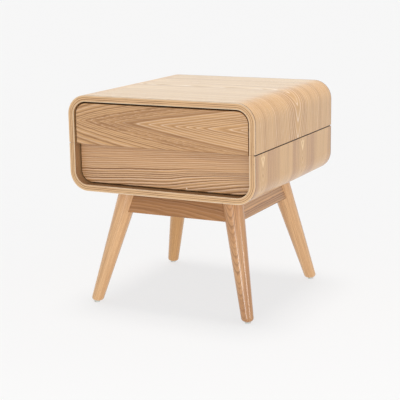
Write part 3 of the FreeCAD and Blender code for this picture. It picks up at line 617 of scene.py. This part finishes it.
def plastic_material():
    """Moulded light grey polyethylene of the glides."""
    g = Graph("glide_plastic")
    grain = g.noise(g.join(g.mul(g.x, 900.0), g.mul(g.y, 900.0), g.mul(g.z, 900.0)), 2.0)
    scuff = g.noise(g.join(g.mul(g.x, 120.0), g.mul(g.y, 120.0), g.mul(g.z, 120.0)), 3.0)
    colour = g.mix(g.mul(scuff, 0.6), rgb(208, 211, 206), rgb(172, 174, 168))
    return g.finish(colour, g.add(0.38, g.mul(grain, 0.2)), grain, 0.00004, Subsurface_Weight=0.1)


def cover(names, material):
    """Gives several CAD nodes one material."""
    for name in names:
        mesh = nodes[name].data
        mesh.materials.clear()
        mesh.materials.append(material)


def middle(name):
    """The middle of a node's box."""
    low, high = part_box(name)
    return (low + high) / 2


def named(*words):
    """The CAD nodes whose names hold any of the words."""
    return sorted(n for n in nodes if any(word in n for word in words))


FRONT_RIGHT_LEG = dict(
    colours=(rgb(208, 158, 109), rgb(186, 133, 87), rgb(112, 68, 36)),
    contrast=0.85, year_long=17.0, spread=0.22, power=2.0, lines=0.7, aside=0.001,
)
# The back-left leg's colours are darker than the pale legs' as painted shade on the leg at the back; its
# grain settings are its own.
SHADED_BACK_LEFT_LEG = dict(
    colours=(rgb(212, 164, 107), rgb(197, 147, 92), rgb(140, 92, 47)),
    contrast=0.6, year_long=45.0, spread=5.0, power=1.3, lines=0.8, aside=0.06,
)
PALE_LEG = dict(
    colours=(rgb(234, 190, 140), rgb(219, 171, 121), rgb(150, 100, 58)),
    contrast=0.85, year_long=38.0, spread=5.0, power=1.3, lines=1.05, aside=0.06,
)
LEGS = {"leg_front_right": FRONT_RIGHT_LEG, "leg_back_left": SHADED_BACK_LEFT_LEG}
# The top and the foot of a leaning leg widen its box, so its axis leans by this share of the box.
LEG_LEAN = 0.62
RAIL_COLOURS = (rgb(193, 139, 84), rgb(160, 111, 64), rgb(90, 58, 30))
PLAIN_RAIL = dict(colours=RAIL_COLOURS, contrast=0.7, year_wide=0.003, pith=(0.12, -0.10), wander=1.4)
STRIPED_RAIL = dict(
    colours=(rgb(210, 160, 108), rgb(180, 130, 86), rgb(90, 56, 34)),
    contrast=1.1, year_wide=0.0056, pith=(0.02, -0.3), wander=0.35,
)

cover(["upper_shell", "lower_shell"], casing_material())
cover(["upper_drawer_front"], upper_front_material())
cover(["lower_drawer_front"], lower_front_material())
cover(["back_panel"], back_material())
for number, name in enumerate(named("leg_")):
    low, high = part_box(name)
    centre = middle(name)
    lean_x = math.copysign(high.x - low.x, centre.x) * LEG_LEAN
    lean_y = math.copysign(high.y - low.y, centre.y) * LEG_LEAN
    axis = Vector((lean_x, lean_y, low.z - high.z))
    look = LEGS.get(name, PALE_LEG)
    cover([name], leg_material(f"ash_{name}", axis, centre, 30.0 + 3.7 * number, **look))
for number, name in enumerate(named("_rail")):
    low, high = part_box(name)
    axis = (1, 0, 0) if high.x - low.x > high.y - low.y else (0, 1, 0)
    look = STRIPED_RAIL if name == "right_rail" else PLAIN_RAIL
    cover([name], solid_ash_material(f"ash_{name}", axis, middle(name), 50.0 + 5.3 * number, **look))
blocks = named("corner_block")
block_middle = (0, 0, 0.26)
cover(blocks, solid_ash_material("ash_blocks", (1, 1, 0), block_middle, 71.0, RAIL_COLOURS))
cover(named("_box_side", "spline"), box_material("birch_sides", "Y", "X"))
cover(named("_box_front", "_box_back"), box_material("birch_ends", "X", "Y"))
cover(named("_box_bottom", "dowels"), box_material("birch_bottom", "X", None))
cover(named("member", "cages"), steel_material("slide_zinc", rgb(208, 210, 212)))
SCREW_ZINC = steel_material("screw_zinc", rgb(204, 200, 188))
cover(named("nails"), SCREW_ZINC)
cover([n for n in named("glide_") if n != "glide_nails"], plastic_material())


# ---------------------------------------------------------------- cross-head wood screws
SCREW_CREST = 0.00198
SCREW_ROOT = 0.00150
SCREW_PITCH = 0.0018
SCREW_AROUND = 32
HEAD_RADIUS = 0.0038
# How much shorter a screw is than the plain CAD one that it replaces.
SCREW_SPARE = 0.0001


def lathe(mesh, rings, around):
    """Adds a closed turned skin to a mesh. Each ring is (height, radius at an angle), from the tip up."""
    rows = []
    for height, radius_at in rings:
        row = []
        for k in range(around):
            angle = 2 * math.pi * k / around
            radius = radius_at(angle)
            row.append(mesh.verts.new((radius * math.cos(angle), radius * math.sin(angle), height)))
        rows.append(row)
    for low_row, high_row in zip(rows, rows[1:]):
        for k in range(around):
            after = (k + 1) % around
            mesh.faces.new((low_row[k], low_row[after], high_row[after], high_row[k]))
    mesh.faces.new(rows[0][::-1])
    mesh.faces.new(rows[-1])


def thread_radius(height, tip, neck):
    """The thread's radius at a height: a ridge wound round the core, thin at the tip, gone at the neck."""
    def radius_at(angle):
        part = (height / SCREW_PITCH - angle / (2 * math.pi)) % 1.0
        ridge = max(0.0, 1.0 - abs(part - 0.5) / 0.26)
        taper = min(1.0, 0.12 + 0.88 * (height - tip) / 0.003)
        fade = min(1.0, max(0.0, (neck - height) / SCREW_PITCH))
        return taper * (SCREW_ROOT + (SCREW_CREST - SCREW_ROOT) * ridge * fade)
    return radius_at


def head_rings(tall, rim):
    """A domed head that stands on z = 0, with a rounded rim of a given radius."""
    rings = [(0.0, lambda angle: SCREW_ROOT), (0.0, lambda angle: HEAD_RADIUS - 0.0001)]
    rings.append((0.0001, lambda angle: HEAD_RADIUS))
    for step in range(1, 7):
        bend = math.radians(15 * step)
        out = HEAD_RADIUS - rim * (1 - math.cos(bend))
        rings.append((tall - rim + rim * math.sin(bend), lambda angle, out=out: out))
    return rings


def cross_recess(tall):
    """The tapered cross-shaped recess of a head whose top is at a height, as a cutting shape."""
    mesh = bmesh.new()
    arm, half, depth = 0.0021, 0.00042, 0.62 * tall
    outline = [
        (arm, -half), (arm, half), (half, half), (half, arm), (-half, arm), (-half, half),
        (-arm, half), (-arm, -half), (-half, -half), (-half, -arm), (half, -arm), (half, -half),
    ]
    top = [mesh.verts.new((x, y, tall + 0.0003)) for x, y in outline]
    floor = [mesh.verts.new((0.5 * x, 0.5 * y, tall - depth)) for x, y in outline]
    for k in range(len(outline)):
        after = (k + 1) % len(outline)
        mesh.faces.new((floor[k], floor[after], top[after], top[k]))
    mesh.faces.new(top)
    mesh.faces.new(floor[::-1])
    return mesh


def as_object(name, mesh):
    """A new object from a bmesh, which is freed."""
    data = bpy.data.meshes.new(name)
    bmesh.ops.recalc_face_normals(mesh, faces=mesh.faces)
    mesh.to_mesh(data)
    mesh.free()
    return bpy.data.objects.new(name, data)


def screw_mesh(long, tall, rim):
    """One screw, its shank down -Z from the underside of the head at the origin."""
    mesh = bmesh.new()
    steps = int(8 * long / SCREW_PITCH)
    neck = -0.0008
    heights = [-long + (long + neck) * k / steps for k in range(steps + 1)]
    rings = [(height, thread_radius(height, -long, neck)) for height in heights]
    lathe(mesh, rings + head_rings(tall, rim), SCREW_AROUND)
    screw = as_object("screw_blank", mesh)
    cutter = as_object("screw_recess", cross_recess(tall))
    for item in (screw, cutter):
        bpy.context.scene.collection.objects.link(item)
    cut = screw.modifiers.new("recess", "BOOLEAN")
    cut.operation = "DIFFERENCE"
    cut.solver = "EXACT"
    cut.object = cutter
    shaped = bpy.data.meshes.new_from_object(screw.evaluated_get(bpy.context.evaluated_depsgraph_get()))
    for item in (screw, cutter):
        bpy.data.objects.remove(item)
    return shaped


def islands(name):
    """The separate solids of a CAD node, each as a list of points."""
    mesh = bmesh.new()
    mesh.from_mesh(nodes[name].data)
    bmesh.ops.remove_doubles(mesh, verts=mesh.verts, dist=1e-6)
    mesh.verts.ensure_lookup_table()
    seen = set()
    found = []
    for vertex in mesh.verts:
        if vertex.index in seen:
            continue
        seen.add(vertex.index)
        waiting = [vertex]
        points = []
        while waiting:
            here = waiting.pop()
            points.append(here.co.copy())
            for edge in here.link_edges:
                other = edge.other_vert(here)
                if other.index not in seen:
                    seen.add(other.index)
                    waiting.append(other)
        found.append(points)
    mesh.free()
    return found


def screw_stand(points):
    """Where a CAD screw stands: the underside of its head, the way up to its head, and its two lengths."""
    low = Vector([min(p[k] for p in points) for k in range(3)])
    high = Vector([max(p[k] for p in points) for k in range(3)])
    extent = high - low
    along = max(range(3), key=lambda k: extent[k])
    line = Vector([1.0 if k == along else 0.0 for k in range(3)])
    centre = (low + high) / 2
    offsets = [p - centre for p in points]
    flank = [off[along] for off in offsets if (off - off[along] * line).length > 0.6 * HEAD_RADIUS]
    way = 1.0 if sum(flank) > 0 else -1.0
    tall = max(flank) - min(flank)
    seat = centre + line * (min(flank) if way > 0 else max(flank))
    return seat, line * way, extent[along] - tall, tall


def add_screws(node, body, rim_share):
    """Cross-head screws in place of a node's plain ones, each turned by a different amount."""
    joined = bmesh.new()
    blank = None
    for number, points in enumerate(islands(node)):
        seat, up, long, tall = screw_stand(points)
        if blank is None:
            blank = screw_mesh(long - SCREW_SPARE, tall - SCREW_SPARE / 2, rim_share * tall)
        spin = Matrix.Rotation(math.radians(37.0 * number), 4, "Z")
        turn = up.to_track_quat("Z", "Y").to_matrix().to_4x4()
        copy = blank.copy()
        copy.transform(Matrix.Translation(seat) @ turn @ spin)
        joined.from_mesh(copy)
        bpy.data.meshes.remove(copy)
    group = as_object(f"{node}_cross_head", joined)
    group.data.materials.append(SCREW_ZINC)
    bpy.context.scene.collection.objects.link(group)
    group.data.shade_smooth()
    group.data.set_sharp_from_angle(angle=math.radians(40))
    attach(group, body)
    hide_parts(node)


for level in ("upper", "lower"):
    add_screws(f"{level}_front_screws", f"{level}_drawer", 0.6)
    add_screws(f"{level}_slide_screws", f"{level}_drawer", 0.5)
add_screws("wall_screws", "cabinet", 0.5)
add_screws("base_screws", "cabinet", 0.6)


# ---------------------------------------------------------------- floor, light and camera
SURROUND_LOW = 0.95
SURROUND_HIGH = 0.35
SURROUND_FADE = (0.10, 0.85)
OVERHEAD = 1.6
FILL = 0.58
STRIP = 9.0
STRIP_AIM = (0.16, -0.16, 0.15)
FLOOR_REACH = 60.0
FLOOR_GLOW = (0.683, 0.696, 0.709, 1.0)
CAMERA_PLACE = (1.1493, -2.3059, 0.7857)
CAMERA_YAW = 26.798
CAMERA_PITCH = 12.436
CAMERA_ROLL = -0.855
CAMERA_LENS = 102.03


def add_floor():
    """A wide white floor that glows a little, so that it stays nearly white with only faint shadows."""
    mesh = bpy.data.meshes.new("floor")
    corners = [(x * FLOOR_REACH, y * FLOOR_REACH, 0) for x, y in ((-1, -1), (1, -1), (1, 1), (-1, 1))]
    mesh.from_pydata(corners, [], [(0, 1, 2, 3)])
    floor = bpy.data.objects.new("floor", mesh)
    bpy.context.scene.collection.objects.link(floor)
    g = Graph("studio_floor")
    tone = g.noise(g.join(g.mul(g.x, 3.0), g.mul(g.y, 3.0), 0.0), 2.0)
    paint = g.mix(tone, (0.230, 0.217, 0.204), (0.234, 0.221, 0.208))
    glow = dict(Emission_Color=FLOOR_GLOW, Emission_Strength=1.0)
    mesh.materials.append(g.finish(paint, 1.0, Specular_IOR_Level=0.0, **glow))


def add_softbox(name, place, wide, tall):
    """A rectangular soft light at a place, turned towards STRIP_AIM. The camera doesn't see it."""
    lamp = bpy.data.lights.new(name, "AREA")
    lamp.shape = "RECTANGLE"
    lamp.size = wide
    lamp.size_y = tall
    lamp.energy = STRIP * math.pi * wide * tall
    softbox = bpy.data.objects.new(name, lamp)
    softbox.location = place
    softbox.visible_camera = False
    softbox.rotation_euler = (Vector(STRIP_AIM) - Vector(place)).to_track_quat("-Z", "Y").to_euler()
    bpy.context.scene.collection.objects.link(softbox)


def add_sun(name, strength, spread, off_vertical, turn):
    """A far light of a given apparent width. Angles are in degrees.

    It stands off_vertical from straight above, turned from the front (0) towards the right (90).
    """
    lamp = bpy.data.lights.new(name, "SUN")
    lamp.energy = strength
    lamp.angle = math.radians(spread)
    sun = bpy.data.objects.new(name, lamp)
    sun.rotation_euler = (math.radians(off_vertical), 0, math.radians(turn))
    bpy.context.scene.collection.objects.link(sun)


def add_light():
    """A white surround, brighter low down, a soft light overhead, a wide fill and two low softboxes."""
    scene = bpy.context.scene
    scene.view_settings.view_transform = "Standard"
    world = bpy.data.worlds.new("studio")
    scene.world = world
    world.use_nodes = True
    tree = world.node_tree
    direction = tree.nodes.new("ShaderNodeTexCoord")
    parts = tree.nodes.new("ShaderNodeSeparateXYZ")
    tree.links.new(direction.outputs["Generated"], parts.inputs[0])
    fade = tree.nodes.new("ShaderNodeMapRange")
    fade.interpolation_type = "SMOOTHSTEP"
    for socket, value in zip(fade.inputs[1:], (*SURROUND_FADE, SURROUND_LOW, SURROUND_HIGH)):
        socket.default_value = value
    tree.links.new(parts.outputs[2], fade.inputs[0])
    tree.links.new(fade.outputs[0], tree.nodes["Background"].inputs["Strength"])
    tree.nodes["Background"].inputs["Color"].default_value = (1.0, 1.0, 1.0, 1.0)
    add_sun("overhead", OVERHEAD, spread=22, off_vertical=4, turn=225)
    add_sun("fill", FILL, spread=80, off_vertical=80, turn=38)
    add_softbox("strip_left", (0.37, -1.65, 0.38), wide=0.50, tall=0.28)
    add_softbox("strip_right", (1.64, -0.42, 0.42), wide=0.37, tall=0.30)


def add_camera():
    """The photographed view: from the front right, a little above the top."""
    yaw, pitch, roll = (math.radians(angle) for angle in (CAMERA_YAW, CAMERA_PITCH, CAMERA_ROLL))
    back = Vector((math.sin(yaw) * math.cos(pitch), -math.cos(yaw) * math.cos(pitch), math.sin(pitch)))
    level = Vector((math.cos(yaw), math.sin(yaw), 0))
    upright = back.cross(level)
    right = level * math.cos(roll) + upright * math.sin(roll)
    up = upright * math.cos(roll) - level * math.sin(roll)
    data = bpy.data.cameras.new("camera")
    data.lens = CAMERA_LENS
    data.sensor_width = 36.0
    camera = bpy.data.objects.new("camera", data)
    turn = Matrix((right, up, back)).transposed()
    camera.matrix_world = Matrix.Translation(CAMERA_PLACE) @ turn.to_4x4()
    bpy.context.scene.collection.objects.link(camera)
    bpy.context.scene.camera = camera


add_floor()
add_light()
add_camera()
